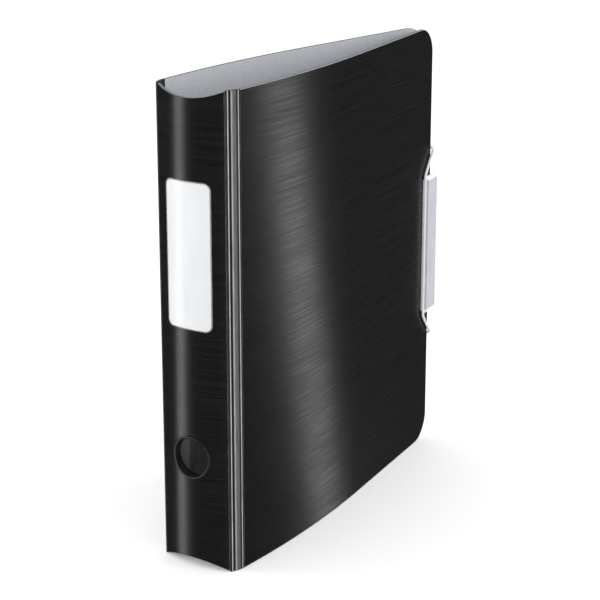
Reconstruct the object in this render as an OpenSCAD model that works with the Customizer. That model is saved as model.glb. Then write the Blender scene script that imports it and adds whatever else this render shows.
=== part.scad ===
// A4 ring binder with a round spine, standing on its bottom edge.
// X is the thickness (front cover on +X), Y the depth (spine on -Y), Z the height.
// The origin is the centre of the box's bottom.

/* [Case] */
// Height of the case
case_h = 318; // [300:1:330]
// Outer radius of the curved spine
spine_r = 59; // [54:1:70]
// Width of the spine between its two creases
spine_w = 53.2; // [48:0.2:56]
// How far the spine's ends are cut in at the middle
spine_dip = 6; // [2:0.5:10]
// Width of each hinge strip between its two creases
strip_w = 8; // [7:0.5:12]
// Lean of the closed hinge strip from the depth direction
strip_lean = 19; // [12:1:25]
// Length of a cover from its crease to the fore-edge
cover_len = 276.5; // [265:0.5:290]
// Radius of the swollen part of a cover
swell_r = 778; // [700:1:900]
// Outward lean of a cover where it leaves the crease
start_lean = 2.5; // [2:0.1:4]
// Inward lean of the flat part of a cover
end_lean = 8.4; // [8:0.1:8.6]
// Radius of the two corners of a cover at the fore-edge
corner_r = 20; // [8:1:35]
// Thickness of the foam board with its outer film
wall_t = 2.6; // [2:0.1:3]
// Thickness of the outer film alone
skin_t = 0.4; // [0.2:0.1:0.6]

/* [Label] */
// Width of the label pocket
label_w = 35; // [25:1:40]
// Height of the label pocket
label_h = 97; // [60:1:120]
// Height of the label's middle above the bottom edge
label_z = 211.5; // [180:0.5:240]
// Corner radius of the label pocket
label_r = 5; // [2:0.5:8]

/* [Finger hole] */
// Radius of the finger ring's bore
finger_r = 13; // [10:0.5:14]
// Height of the finger hole's middle above the bottom edge
finger_z = 76; // [60:1:90]

/* [Rings] */
// Distance between neighbouring rings
ring_pitch = 80; // [78:1:81]
// Number of rings
ring_count = 4; // [2:2:4]
// Diameter of the ring wire
wire_d = 3.8; // [3:0.1:4]
// Height of the rings' top run above the back cover
ring_top = 50; // [44:1:51]
// Length of the ring housing
housing_l = 272; // [268:1:274]
// Height of the ring housing's top end above the middle of the case
housing_top = 128; // [126:1:130]
// Width of the ring housing
housing_w = 30; // [28:1:34]
// Height of the ring housing above the back cover
housing_h = 7.2; // [7:0.1:8]
// Sheet thickness of the housing
sheet_t = 0.9; // [0.7:0.1:1]

/* [Trigger] */
// Width of the trigger
trigger_w = 12.8; // [10:0.2:13]
// Length of the trigger's thumb arm from its pin
arm_l = 19; // [15:1:19]
// Angle of the closed thumb arm above the back cover
arm_angle = 48; // [40:1:55]

/* [Closure] */
// Diameter of the elastic cord
cord_d = 2; // [1.6:0.1:2.2]
// Height of the pull tab's middle above the bottom edge
tab_z = 155; // [140:1:180]
// Height of the pull tab
tab_h = 106; // [100:1:108]
// Stretch of the pull tab beyond the fore-edge
tab_out = 5.5; // [3:0.5:7]
// Stretch of the grip over the cover
tab_in = 11.2; // [10.5:0.1:11.4]

/* [Hidden] */

$fn = 96;
far = 400;            // longer than anything it cuts
curve_fn = 720;       // facets of the large arcs
knuckle_r = wall_t / 2;
crease_gap = 0.15;
film_trim = 0.4;
black = "#202022";
foam_grey = "#a9abb0";

// Spine: an arc about [0, spine_r], with the creases on its middle surface.
mid_r = spine_r - knuckle_r;
spine_angle = asin(spine_w / 2 / mid_r);
spine_end = spine_angle - asin((knuckle_r + crease_gap) / mid_r);
spine_crease = [spine_w / 2, spine_r - mid_r * cos(spine_angle)];
spine_edge_x = spine_r * sin(spine_angle);
dip_r = (spine_edge_x ^ 2 + spine_dip ^ 2) / (2 * spine_dip);

// Covers: an arc from the crease, then a flat stretch to the fore-edge.
cover_crease = spine_crease + strip_w * [sin(strip_lean), cos(strip_lean)];
swell_l = swell_r * (start_lean + end_lean) * PI / 180;
swell_steps = 14;
fore = mid_point(cover_len);
crest_l = swell_r * start_lean * PI / 180;
crest = mid_point(crest_l);

// Lean of the cover's middle surface at a distance along it, outward positive.
function lean(s) = s < swell_l ? start_lean - s / swell_r * 180 / PI : -end_lean;

// Point of the cover's middle surface at a distance along it.
function arc_point(s) = cover_crease
    + swell_r * [cos(lean(s)) - cos(start_lean), sin(start_lean) - sin(lean(s))];
function mid_point(s) = s <= swell_l
    ? arc_point(s)
    : arc_point(swell_l) + (s - swell_l) * [-sin(end_lean), cos(end_lean)];

// The same, offset outwards from the middle surface.
function cover_point(s, out) = mid_point(s) + out * [cos(lean(s)), -sin(lean(s))];

// Label and finger ring
card_t = 0.25;
pocket_t = 0.6;
pocket_rim = 0.8;
flange_t = 0.6;
flange_r = finger_r + 1.9;
tube_r = finger_r + 1;
ring_inner_y = 6.4;

// Ring mechanism, in a frame whose X is the height above the back board,
// Y points to the fore-edge and Z is measured from the middle of the case.
board_x = crest[0] - knuckle_r;
dome_r = 26;
dome_x = housing_h - dome_r;
foot_x = 0.6;
lip_t = 0.5;
blade_x = 1.8;
blade_y = 12.6;
blade_t = 0.8;
bead_r = 0.6;
blade_gap = 0.15;
wire_r = wire_d / 2;
wire_y = 9;
stub_l = 6;
small_bend = 5;
corner_bend = 8;
flare = 50;
leg_y = 19;
split_gap = 0.1;
rivet_r = 1.8;
pin_r = 1;
pin_x = 3.4;
housing_foot = housing_top - housing_l;
pin_z = housing_foot + 7;
ear_y = 6.9;
trigger_zone = housing_foot + 17;
tongue_l = 8.5;
tongue_angle = 12;
tongue_w = 8;
rivet_spots = [-ring_pitch, 0, ring_pitch];
ring_spots = [for (i = [0:ring_count - 1]) (i - (ring_count - 1) / 2) * ring_pitch];

// Middle lines of the two ring halves as [height, y] points: a stub, a flare away
// from the housing, then a large arc or a straight leg with a round corner.
wire_sides = 12;
stub_x = blade_x + blade_t / 2;
flare_x = stub_x + stub_l;
curve_r = (ring_top - flare_x - small_bend * sin(flare)) / (1 + sin(flare));
split_y = curve_r * cos(flare) - wire_y - small_bend * (1 - cos(flare));
slope_x = (leg_y - wire_y - 2 * small_bend * (1 - cos(flare))) / tan(flare);
leg_x = flare_x + 2 * small_bend * sin(flare) + slope_x;
function arc(x, y, r, a0, a1, steps) =
    [for (i = [0:steps]) let (a = a0 + (a1 - a0) * i / steps) [x + r * sin(a), y + r * cos(a), 0]];
function trim_first(points) = [for (i = [1:len(points) - 1]) points[i]];
curved_half = concat([[stub_x, -wire_y, 0]],
    arc(flare_x, -wire_y - small_bend, small_bend, 0, flare, 4),
    trim_first(arc(ring_top - curve_r, split_y, curve_r, 180 + flare, 90, 20)));
straight_half = concat([[stub_x, wire_y, 0]],
    arc(flare_x, wire_y + small_bend, small_bend, 180, 180 - flare, 4),
    arc(leg_x, leg_y - small_bend, small_bend, -flare, 0, 4),
    arc(ring_top - corner_bend, leg_y - corner_bend, corner_bend, 0, 90, 7),
    [[ring_top, split_y + split_gap, 0]]);

// Closure, in a frame at the fore-edge of the front cover: X outwards from the
// middle surface, Y beyond the fore-edge, Z from the middle of the pull tab.
cord_r = cord_d / 2;
tab_gap = 0.3;
plate_t = 0.8;
grip_t = 2.5;
plate_x = knuckle_r + tab_gap;
lip_y = 14.2;
run_x = plate_x + plate_t + 0.55;
run_y = -12.9;
eye_x = -2.3;
eye_y = 2.4;
eye_z = 80;
eye_h = 8;
eye_r = 1.9;
tongue_t = 0.8;

// Half of the cord, from its end above the upper anchor to the middle of the tab
half_route = [[eye_x, eye_y, 86], [eye_x, eye_y, 81], [eye_x, eye_y, 76.5],
    [-2.1, 2.6, 75], [-1.2, 2.9, 73.6], [0.2, 2.8, 72.6], [1.6, 2.4, 71.8],
    [2.6, 1.3, 70.6], [3, 0, 69], [3, -1.8, 67.1], [run_x, -4, 64.8], [run_x, -7, 61.4],
    [run_x, -10, 57.9], [run_x, -11.7, 55.8], [run_x, -12.55, 54.2], [run_x, -12.85, 52.6],
    [run_x, run_y, 51], [run_x, run_y, 40], [run_x, run_y, 30], [run_x, run_y, 20],
    [run_x, run_y, 10]];
last = len(half_route) - 1;
cord_route = concat(half_route, [[run_x, run_y, 0]],
    [for (i = [last:-1:0]) [half_route[i][0], half_route[i][1], -half_route[i][2]]]);

// The whole model's box, so that the origin is the middle of its bottom
back_y = -pocket_t;
front_y = fore[1] + tab_out * cos(end_lean) + (plate_x + plate_t + grip_t) * sin(end_lean);
mid_y = (back_y + front_y) / 2;

// ---- shared shapes ----

module placed() {
    translate([0, -mid_y, 0]) children();
}

// Mirrors a part of the front half to the back half.
module back_side() {
    mirror([1, 0, 0]) children();
}

// Sector of the spine between two radii, cut concave at both ends.
module spine_layer(r_out, r_in) {
    difference() {
        linear_extrude(case_h)
            intersection() {
                translate([0, spine_r])
                    difference() {
                        circle(r_out, $fn = curve_fn);
                        circle(r_in, $fn = curve_fn);
                    }
                polygon([[0, spine_r], far * [-sin(spine_end), -cos(spine_end)] + [0, spine_r],
                    far * [sin(spine_end), -cos(spine_end)] + [0, spine_r]]);
            }
        for (z = [case_h - spine_dip + dip_r, spine_dip - dip_r])
            translate([0, -far / 2, z]) rotate([-90, 0, 0]) cylinder(h = far, r = dip_r, $fn = curve_fn);
        translate([0, -1, finger_z]) rotate([-90, 0, 0]) cylinder(h = 20, r = tube_r + 0.1);
    }
}

// Thin layer over the outside of the spine, as high as its outline.
module spine_patch(w, h, r, t0, t1) {
    intersection() {
        linear_extrude(case_h)
            translate([0, spine_r])
                difference() {
                    circle(spine_r + t1, $fn = curve_fn);
                    circle(spine_r + t0, $fn = curve_fn);
                }
        translate([0, spine_r / 2, label_z]) rotate([90, 0, 0])
            linear_extrude(spine_r) rounded_plate(w, h, r);
    }
}

module rounded_plate(w, h, r) {
    square([w - 2 * r, h], center = true);
    square([w, h - 2 * r], center = true);
    for (x = [-1, 1], y = [-1, 1])
        translate([x * (w / 2 - r), y * (h / 2 - r)]) circle(r);
}

// A cover's layer between two offsets from its middle surface.
module cover_layer(out0, out1) {
    first = knuckle_r + crease_gap;
    stations = concat([first],
        [for (i = [1:swell_steps]) i * swell_l / swell_steps], [cover_len]);
    n = len(stations);
    intersection() {
        linear_extrude(case_h)
            polygon(concat([for (s = stations) cover_point(s, out1)],
                [for (i = [n - 1:-1:0]) cover_point(stations[i], out0)]));
        rotate([90, 0, 90]) linear_extrude(far) cover_outline();
    }
}

// Side view of a cover, with round corners at the fore-edge.
module cover_outline() {
    edge = fore[1] + 0.2;
    square([edge - corner_r, case_h]);
    translate([0, corner_r]) square([edge, case_h - 2 * corner_r]);
    for (z = [corner_r, case_h - corner_r])
        translate([edge - corner_r, z]) circle(corner_r);
}

// Strip between two creases; its round edges are centred on the creases.
module hinge_strip() {
    translate([spine_crease[0], spine_crease[1], 0])
        rotate(-strip_lean) {
            translate([-knuckle_r, 0, 0]) cube([wall_t, strip_w, case_h]);
            cylinder(h = case_h, r = knuckle_r);
            translate([0, strip_w, 0]) cylinder(h = case_h, r = knuckle_r);
        }
}

// Frame of the ring mechanism, on the crest of the back board.
module at_rings() {
    translate([-board_x, crest[1], case_h / 2]) children();
}

// Frame of the closure, at the fore-edge of the front cover.
module at_fore() {
    translate([fore[0], fore[1], tab_z]) rotate(end_lean) children();
}

// Unit vector
function unit(v) = v / norm(v);

// Direction of a route at one of its points
function heading(route, i) =
    unit(route[min(i + 1, len(route) - 1)] - route[max(i - 1, 0)]);

// Ring of points about a point of the route; side is never along the route
function tube_ring(route, i, r, sides, side) =
    let (d = heading(route, i), a = unit(cross(d, side)), b = cross(d, a))
    [for (k = [0:sides - 1])
        route[i] + r * (a * cos(360 * k / sides) + b * sin(360 * k / sides))];

// Closed tube swept along a route
module tube(route, r, sides, side) {
    n = len(route);
    points = [for (i = [0:n - 1]) each tube_ring(route, i, r, sides, side)];
    walls = [for (i = [0:n - 2], k = [0:sides - 1])
        let (a = i * sides + k, b = i * sides + (k + 1) % sides)
        [a, b, b + sides, a + sides]];
    start = [for (k = [sides - 1:-1:0]) k];
    end = [for (k = [0:sides - 1]) (n - 1) * sides + k];
    polyhedron(points, concat(walls, [start, end]), convexity = 4);
}

// ---- spine ----

module spine_board() {
    color(foam_grey) spine_layer(spine_r - skin_t, spine_r - wall_t);
}

module spine_skin() {
    color(black) spine_layer(spine_r, spine_r - skin_t);
}

// Clear pocket, open at its top edge where the card goes in.
module label_pocket() {
    color([0.85, 0.87, 0.9, 0.6])
        difference() {
            spine_patch(label_w, label_h, label_r, 0, pocket_t);
            spine_patch(label_w - 2 * pocket_rim, label_h - 2 * pocket_rim, label_r - pocket_rim,
                -0.05, card_t + 0.05);
            translate([0, 0, pocket_rim])
                spine_patch(label_w - 4 * pocket_rim, label_h - 2 * pocket_rim, label_r - pocket_rim,
                    -0.05, card_t + 0.05);
        }
}

module label_card() {
    rim = pocket_rim + 0.1;
    color("white") spine_patch(label_w - 2 * rim, label_h - 2 * rim, label_r - rim, 0, card_t);
}

// Flanged tube through the spine
module finger_ring() {
    color(black)
        translate([0, 0, finger_z])
            difference() {
                union() {
                    intersection() {
                        translate([0, -5, 0]) rotate([-90, 0, 0]) cylinder(h = ring_inner_y + 5, r = tube_r);
                        outer_bound(spine_r + flange_t);
                    }
                    intersection() {
                        translate([0, -5, 0]) rotate([-90, 0, 0]) cylinder(h = 12, r = flange_r);
                        difference() {
                            outer_bound(spine_r + flange_t);
                            outer_bound(spine_r);
                        }
                    }
                }
                translate([0, -6, 0]) rotate([-90, 0, 0]) cylinder(h = 20, r = finger_r);
            }
}

// Solid inside of a spine surface of radius r, around the finger hole.
module outer_bound(r) {
    translate([0, spine_r, -2 * finger_r]) cylinder(h = 4 * finger_r, r = r, $fn = curve_fn);
}

// Ring that holds the flanged tube from inside
module finger_ring_clip() {
    color(black)
        translate([0, 0, finger_z])
            difference() {
                intersection() {
                    rotate([-90, 0, 0]) cylinder(h = ring_inner_y - 0.3, r = tube_r + 3);
                    outer_bound(spine_r - wall_t - 0.02);
                }
                translate([0, -1, 0]) rotate([-90, 0, 0]) cylinder(h = 20, r = tube_r + 0.05);
            }
}

// ---- covers ----

module front_hinge_strip() {
    color(black) hinge_strip();
}

module back_hinge_strip() {
    color(black) back_side() hinge_strip();
}

module front_board() {
    color(foam_grey) cover_layer(-knuckle_r, knuckle_r - skin_t);
}

module front_skin() {
    color(black) cover_film();
}

// Outer film, trimmed just short of the board's top and bottom edges
module cover_film() {
    intersection() {
        cover_layer(knuckle_r - skin_t, knuckle_r);
        translate([0, 0, film_trim]) cube([far, far, case_h - 2 * film_trim]);
    }
}

module rivet_holes() {
    at_rings()
        for (z = rivet_spots)
            translate([-10, 0, z]) rotate([0, 90, 0]) cylinder(h = 20, r = rivet_r + 0.05);
}

module back_board() {
    color(foam_grey)
        difference() {
            back_side() cover_layer(-knuckle_r, knuckle_r - skin_t);
            rivet_holes();
        }
}

module back_skin() {
    color(black)
        difference() {
            back_side() cover_film();
            rivet_holes();
        }
}

// ---- ring mechanism ----

// Cross-section of the domed housing, filled; dome radius and half width given.
module dome_section(r, half_w, base) {
    intersection() {
        translate([dome_x, 0]) circle(r, $fn = curve_fn);
        translate([base, -half_w]) square([housing_h, 2 * half_w]);
    }
}

module housing_section() {
    difference() {
        dome_section(dome_r, housing_w / 2, foot_x);
        dome_section(dome_r - sheet_t, housing_w / 2 - sheet_t, foot_x + lip_t);
        translate([foot_x - 1, -blade_y + 0.6]) square([2, 2 * blade_y - 1.2]);
    }
}

module ring_housing() {
    slot = wire_d + 2.2;
    color("silver")
        at_rings()
            difference() {
                union() {
                    translate([0, 0, housing_foot]) linear_extrude(housing_l) housing_section();
                    intersection() {
                        translate([0, 0, housing_foot]) linear_extrude(housing_l)
                            dome_section(dome_r - 0.1, housing_w / 2, foot_x + 1);
                        for (side = [-1, 1])
                            translate([0, side * (ear_y + sheet_t / 2) - sheet_t / 2, pin_z - 3])
                                cube([housing_h, sheet_t, 6]);
                    }
                }
                for (z = ring_spots, side = [-1, 1])
                    translate([2.5, side * 9.5 - 3.5, z - slot / 2]) cube([housing_h, 7, slot]);
                translate([2.5, -ear_y + 0.1, pin_z - 11]) cube([housing_h, 2 * ear_y - 0.2, 11]);
                for (z = rivet_spots)
                    translate([0, 0, z]) rotate([0, 90, 0]) cylinder(h = 20, r = rivet_r + 0.05);
                translate([pin_x, -20, pin_z]) rotate([-90, 0, 0]) cylinder(h = 40, r = pin_r + 0.01);
            }
}

// Tubes that carry the housing over the gap between the blades
module housing_spacers() {
    color("dimgray")
        at_rings()
            for (z = rivet_spots)
                translate([0.02, 0, z]) rotate([0, 90, 0])
                    difference() {
                        cylinder(h = housing_h - sheet_t - 0.3, r = 3.2);
                        translate([0, 0, -1]) cylinder(h = housing_h + 2, r = rivet_r + 0.05);
                    }
}

module housing_rivets() {
    head_t = 0.9;
    color("silver")
        at_rings()
            for (z = rivet_spots)
                translate([0, 0, z]) rotate([0, 90, 0]) {
                    translate([0, 0, -wall_t - head_t]) cylinder(h = head_t, r = 5.5);
                    translate([0, 0, -wall_t - 0.1]) cylinder(h = housing_h + wall_t + 0.2, r = rivet_r);
                    translate([0, 0, housing_h]) cylinder(h = 1, r1 = 3.4, r2 = 2.6);
                }
}

module trigger_pin() {
    pin_l = 2 * (ear_y + sheet_t + 1);
    color("silver")
        at_rings()
            translate([pin_x, -pin_l / 2, pin_z]) rotate([-90, 0, 0]) cylinder(h = pin_l, r = pin_r);
}

// Flat blade with a round outer edge, on the +Y side
module blade() {
    blade_l = housing_l - 4;
    difference() {
        translate([blade_x, 0, housing_foot + 2]) {
            translate([0, blade_y, 0]) cylinder(h = blade_l, r = bead_r);
            translate([-blade_t / 2, blade_gap, 0]) cube([blade_t, blade_y - blade_gap, blade_l]);
        }
        for (z = rivet_spots)
            translate([0, 0, z]) rotate([0, 90, 0]) cylinder(h = 10, r = 4.4);
        translate([0, -1, trigger_zone - 20]) cube([5, 10.5, 20]);
    }
}

module spine_side_blade() {
    color("gainsboro") at_rings() mirror([0, 1, 0]) blade();
}

module fore_side_blade() {
    color("gainsboro") at_rings() blade();
}

// Ring halves stand on their blades; the curved ones are on the spine's side.
module ring_halves(route) {
    color("silver")
        at_rings()
            for (z = ring_spots)
                translate([0, 0, z]) tube(route, wire_r, wire_sides, [0, 0, 1]);
}

module curved_ring_halves() {
    ring_halves(curved_half);
}

module straight_ring_halves() {
    ring_halves(straight_half);
}

// Frame of the trigger, on its pin: Z points out of the housing's foot.
module at_trigger() {
    at_rings() translate([pin_x, 0, pin_z]) mirror([0, 0, 1]) children();
}

// Hub on the pin, a tongue between the blades and a thumb arm
module trigger_lever() {
    arm_t = 1.6;
    tongue_t = 1.5;
    hub_r = 2;
    color("gainsboro")
        at_trigger()
            rotate([90, 0, 0])
                difference() {
                    union() {
                        linear_extrude(trigger_w, center = true) {
                            circle(hub_r);
                            rotate(-arm_angle) translate([-arm_t / 2, 0]) square([arm_t, arm_l]);
                        }
                        linear_extrude(tongue_w, center = true)
                            rotate(180 - tongue_angle)
                                translate([-tongue_t / 2, 1.5]) square([tongue_t, tongue_l - 1.5]);
                    }
                    cylinder(h = 40, r = pin_r + 0.05, center = true);
                }
}

// Moulded grip on the end of the thumb arm
module trigger_pad() {
    pad_l = 9;
    pad_w = trigger_w + 3;
    color(black)
        at_trigger()
            rotate([0, arm_angle, 0])
                difference() {
                    translate([0, 0, arm_l - pad_l + 1]) rotate([0, 90, 0])
                        linear_extrude(4, center = true) {
                            translate([-pad_l + 4, -pad_w / 2]) square([pad_l - 4, pad_w]);
                            translate([-pad_l, -pad_w / 2 + 4]) square([4, pad_w - 8]);
                            for (side = [-1, 1])
                                translate([-pad_l + 4, side * (pad_w / 2 - 4)]) circle(4);
                        }
                    translate([-0.85, -trigger_w / 2 - 0.05, arm_l - pad_l])
                        cube([1.7, trigger_w + 0.1, pad_l + 0.05]);
                }
}

// ---- closure ----

// Eyes beyond the fore-edge, each on a tongue glued inside the front cover
module cord_anchors() {
    color(black)
        at_fore()
            for (z = [-eye_z, eye_z])
                translate([0, 0, z - eye_h / 2])
                    difference() {
                        union() {
                            translate([-knuckle_r - tongue_t, -9, 0])
                                cube([tongue_t, 9 + eye_y - 1.2, eye_h]);
                            translate([eye_x, eye_y, 0]) cylinder(h = eye_h, r = eye_r);
                        }
                        translate([eye_x, eye_y, -1]) cylinder(h = eye_h + 2, r = cord_r + 0.05);
                    }
}

module elastic_cord() {
    color("white") at_fore() tube(cord_route, cord_r, 8, [0, 1, 0]);
}

module cord_end_beads() {
    bead_h = 3;
    color("white")
        at_fore()
            for (top = [-1, 1])
                translate([eye_x, eye_y, top * (eye_z + eye_h / 2 + 0.3 + bead_h / 2)])
                    difference() {
                        cylinder(h = bead_h, r = 1.8, center = true);
                        cylinder(h = bead_h + 1, r = cord_r + 0.02, center = true);
                    }
}

// Plate under the cord and the grip, with a groove for the cord
module tab_back() {
    color("lightgray")
        at_fore()
            difference() {
                translate([plate_x, 0, 0]) rotate([90, 0, 90]) linear_extrude(plate_t)
                    translate([(tab_out - lip_y) / 2, 0]) rounded_plate(tab_out + lip_y, tab_h - 4, 2);
                translate([run_x, run_y, -tab_h / 2 - 1]) cylinder(h = tab_h + 2, r = cord_r + 0.05);
            }
}

// Raised grip with slanted ends
module tab_grip() {
    slant = 2;
    x0 = plate_x + plate_t;
    color("lightgray")
        at_fore()
            translate([0, tab_out, 0]) rotate([90, 0, 0]) linear_extrude(tab_out + tab_in)
                polygon([[x0, -tab_h / 2], [x0, tab_h / 2], [x0 + 1, tab_h / 2],
                    [x0 + grip_t, tab_h / 2 - slant], [x0 + grip_t, slant - tab_h / 2],
                    [x0 + 1, -tab_h / 2]]);
}

placed() spine_board();
placed() spine_skin();
placed() label_pocket();
placed() label_card();
placed() finger_ring();
placed() finger_ring_clip();
placed() front_hinge_strip();
placed() front_board();
placed() front_skin();
placed() cord_anchors();
placed() back_hinge_strip();
placed() back_board();
placed() back_skin();
placed() ring_housing();
placed() housing_spacers();
placed() housing_rivets();
placed() trigger_pin();
placed() spine_side_blade();
placed() curved_ring_halves();
placed() fore_side_blade();
placed() straight_ring_halves();
placed() trigger_lever();
placed() trigger_pad();
placed() elastic_cord();
placed() cord_end_beads();
placed() tab_back();
placed() tab_grip();
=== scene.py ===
"""Ring binder: detailed meshes, materials, floor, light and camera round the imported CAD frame.

Lengths are in mm in the functions below and turn into metres where a mesh is made.
The axes are the CAD's: X is the thickness, Y the depth with the spine on -Y, Z the height.
"""

import math

import bmesh
import bpy
import numpy as np
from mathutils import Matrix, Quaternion, Vector


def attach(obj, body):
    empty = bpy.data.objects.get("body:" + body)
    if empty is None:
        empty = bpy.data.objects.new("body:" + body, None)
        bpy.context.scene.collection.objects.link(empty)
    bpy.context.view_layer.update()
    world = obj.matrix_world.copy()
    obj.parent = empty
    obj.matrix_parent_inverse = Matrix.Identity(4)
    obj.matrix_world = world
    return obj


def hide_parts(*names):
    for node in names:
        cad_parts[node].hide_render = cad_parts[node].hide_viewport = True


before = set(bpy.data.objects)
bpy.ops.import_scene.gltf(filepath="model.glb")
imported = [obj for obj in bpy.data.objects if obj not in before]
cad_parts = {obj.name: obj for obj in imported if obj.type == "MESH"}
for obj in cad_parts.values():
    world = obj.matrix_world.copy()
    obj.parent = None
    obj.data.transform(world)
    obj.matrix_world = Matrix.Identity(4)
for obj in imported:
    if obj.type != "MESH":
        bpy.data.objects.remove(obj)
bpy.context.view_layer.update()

# ---- the case's plan, as in the CAD model ----
MM = 0.001
MID_Y = 147.81038  # from the spine's outer face to the box's middle
CASE_H = 318.0
SPINE_R = 59.0
SPINE_DIP = 6.0  # depth of the concave cut in the spine's ends
WALL = 2.6  # board and film together
SKIN = 0.4  # the film alone
KNUCKLE = WALL / 2  # radius of a crease's round edge
GAP = 0.15  # running gap of a crease
MID_R = SPINE_R - KNUCKLE
CREASE_X = 26.6
SPINE_ANGLE = math.asin(CREASE_X / MID_R)
SPINE_END = SPINE_ANGLE - math.asin((KNUCKLE + GAP) / MID_R)
SPINE_CREASE = np.array([CREASE_X, SPINE_R - MID_R * math.cos(SPINE_ANGLE)])
STRIP_W = 8.0
STRIP_LEAN = math.radians(19)
COVER_CREASE = SPINE_CREASE + STRIP_W * np.array([math.sin(STRIP_LEAN), math.cos(STRIP_LEAN)])
COVER_LEN = 276.5
SWELL_R = 778.0  # radius of the covers' swell beside the spine
START_LEAN = math.radians(2.5)
END_LEAN = math.radians(8.4)
SWELL_L = SWELL_R * (START_LEAN + END_LEAN)
CORNER_R = 20.0
FINGER_R = 13.0
FINGER_Z = 76.0
LABEL_W, LABEL_H, LABEL_Z, LABEL_R = 35.0, 97.0, 211.5, 5.0
CLOSURE_Z = 155.0  # height of the closure frame's origin
TAB_TOP, TAB_Y = 2.4, 5.5  # top of the tab's back plate and the tab's outer edge, in the closure's frame
EDGE_X = SPINE_R * math.sin(SPINE_ANGLE)
DIP_R = (EDGE_X**2 + SPINE_DIP**2) / (2 * SPINE_DIP)
RIVET_ZS = (-80, 0, 80)
RING_ZS = (-120, -40, 40, 120)


def lean(s):
    """Angle of a cover's middle line at a distance s from its crease."""
    return START_LEAN - s / SWELL_R if s < SWELL_L else -END_LEAN


def mid_point(s):
    """Point (x, y) on the front cover's middle line: an arc, then a straight run to the fore-edge."""
    q = min(s, SWELL_L)
    a = START_LEAN - q / SWELL_R
    p = COVER_CREASE + SWELL_R * np.array(
        [math.cos(a) - math.cos(START_LEAN), math.sin(START_LEAN) - math.sin(a)])
    return p + max(s - SWELL_L, 0) * np.array([-math.sin(END_LEAN), math.cos(END_LEAN)])


def cover_point(s, out):
    """Point at a distance out from the middle line, outwards."""
    return mid_point(s) + out * np.array([math.cos(lean(s)), -math.sin(lean(s))])


FORE = mid_point(COVER_LEN)
EDGE_OUT = 0.2  # the leaning fore-edge's outer corner lies this much further than its middle
FORE_EDGE = FORE[1] + EDGE_OUT
CREST = mid_point(SWELL_R * START_LEAN)


def at_fore(x, y, z):
    """A point given in the closure's frame at the fore-edge of the front cover."""
    c, s = math.cos(END_LEAN), math.sin(END_LEAN)
    return (FORE[0] + x * c - y * s, FORE[1] + x * s + y * c - MID_Y, CLOSURE_Z + z)


def at_rings(x, y, z):
    """A point given in the ring mechanism's frame on the back board."""
    return (x - (CREST[0] - KNUCKLE), CREST[1] + y - MID_Y, CASE_H / 2 + z)


def dip(x):
    """How far the spine's ends are cut in at a distance x from its middle."""
    return SPINE_DIP - DIP_R + math.sqrt(DIP_R**2 - x**2)


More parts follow.
